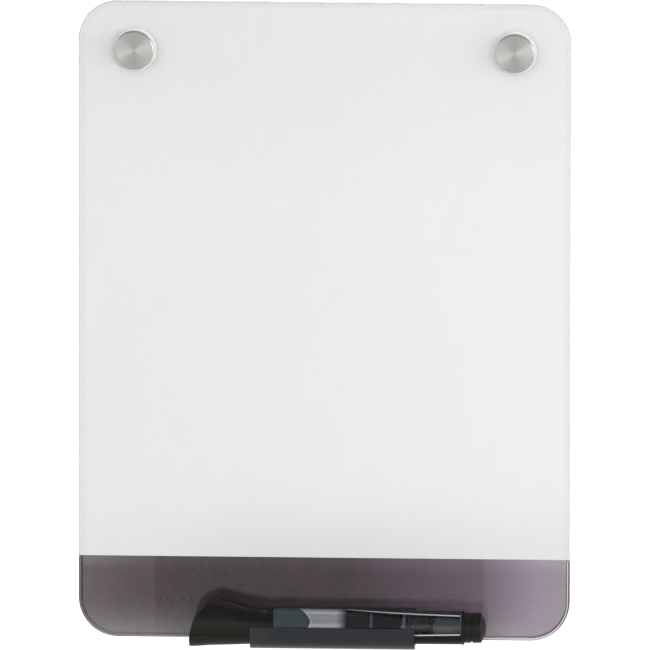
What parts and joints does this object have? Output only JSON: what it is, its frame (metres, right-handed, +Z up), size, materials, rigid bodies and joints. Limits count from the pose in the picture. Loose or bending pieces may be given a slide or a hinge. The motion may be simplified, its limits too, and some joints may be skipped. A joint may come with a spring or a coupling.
{
  "type": "whiteboard",
  "caption": "Small frameless glass marker board on round standoffs, with a smoke strip and a trough that holds a capped marker.",
  "frame": {"origin": "on the wall plane, midway between the two standoffs", "axes": "+Z up, +Y into the wall, +X to the right as seen from the front"},
  "size_m": [0.2286, 0.0678, 0.3023],
  "materials": {
    "glass": "polished clear glass with a pencil edge",
    "white_paint": "white back paint seen through the glass",
    "smoke_tint": "smoke brown tint seen through the glass",
    "smoke_acrylic": "smoke acrylic, glossy",
    "foam_tape": "white foam tape",
    "clear_plastic": "clear moulded plastic",
    "label_print": "printed film in blue grey and silver",
    "black_plastic": "black moulded plastic, glossy",
    "grey_plastic": "grey moulded plastic",
    "felt": "black felt",
    "wick_fibre": "fibre wick soaked in ink",
    "ink": "black ink",
    "rubber": "soft black rubber",
    "spring_steel": "drawn wire",
    "nylon": "grey nylon",
    "clear_nylon": "clear nylon",
    "satin_steel": "satin turned steel",
    "spun_steel": "radially spun steel",
    "zinc_steel": "zinc plated steel"
  },
  "bodies": {
    "board": {"glass_panel": "glass", "white_backing": "white_paint", "smoke_backing": "smoke_tint", "left_standoff_barrel": "satin_steel", "left_wall_screw": "zinc_steel", "left_wall_anchor": "nylon", "left_rear_washer": "clear_nylon", "left_hole_bushing": "clear_nylon", "left_bumper": "rubber", "right_standoff_barrel": "satin_steel", "right_wall_screw": "zinc_steel", "right_wall_anchor": "nylon", "right_rear_washer": "clear_nylon", "right_hole_bushing": "clear_nylon", "right_bumper": "rubber", "marker_tray": "smoke_acrylic", "tray_tape": "foam_tape"},
    "marker": {"marker_barrel": "clear_plastic", "barrel_label": "label_print", "grip_section": "black_plastic", "marker_nib": "felt", "ink_wick": "wick_fibre", "ink_baffle": "grey_plastic", "ink_fill": "ink", "valve_body": "grey_plastic", "pump_spring": "spring_steel", "rear_collar": "black_plastic"},
    "cap": {"marker_cap": "black_plastic", "cap_liner": "grey_plastic", "cap_eraser": "felt"},
    "pump": {"pump_stem": "grey_plastic", "stem_seal": "rubber", "pump_button": "black_plastic"},
    "left_washer": {"left_front_washer": "clear_nylon"},
    "left_cap": {"left_standoff_cap": "spun_steel", "left_cap_stud": "zinc_steel"},
    "right_washer": {"right_front_washer": "clear_nylon"},
    "right_cap": {"right_standoff_cap": "spun_steel", "right_cap_stud": "zinc_steel"}
  },
  "joints": [
    {"name": "marker_lift", "type": "slide", "parent": "board", "child": "marker", "axis": [0, 0, 1], "range_m": [0, 0.06]},
    {"name": "cap_pull", "type": "slide", "parent": "marker", "child": "cap", "axis": [-1, 0, 0], "range_m": [0, 0.035]},
    {"name": "pump_press", "type": "slide", "parent": "marker", "child": "pump", "axis": [-1, 0, 0], "range_m": [0, 0.0008], "stiffness_N_per_m": 400, "springref_m": -0.002, "deforming": ["pump_spring"]},
    {"name": "left_cap_travel", "type": "slide", "parent": "board", "child": "left_washer", "axis": [0, -1, 0], "range_m": [0, 0.0063]},
    {"name": "left_cap_turn", "type": "hinge", "parent": "left_washer", "child": "left_cap", "pos_m": [-0.0883, -0.02, 0], "axis": [0, -1, 0], "range_deg": [0, 1800]},
    {"name": "right_cap_travel", "type": "slide", "parent": "board", "child": "right_washer", "axis": [0, -1, 0], "range_m": [0, 0.0063]},
    {"name": "right_cap_turn", "type": "hinge", "parent": "right_washer", "child": "right_cap", "pos_m": [0.0883, -0.02, 0], "axis": [0, -1, 0], "range_deg": [0, 1800]}
  ],
  "couplings": [
    {"joint": "left_cap_travel", "follows": "left_cap_turn", "m_per_rad": 0.00019894},
    {"joint": "right_cap_travel", "follows": "right_cap_turn", "m_per_rad": 0.00019894}
  ]
}
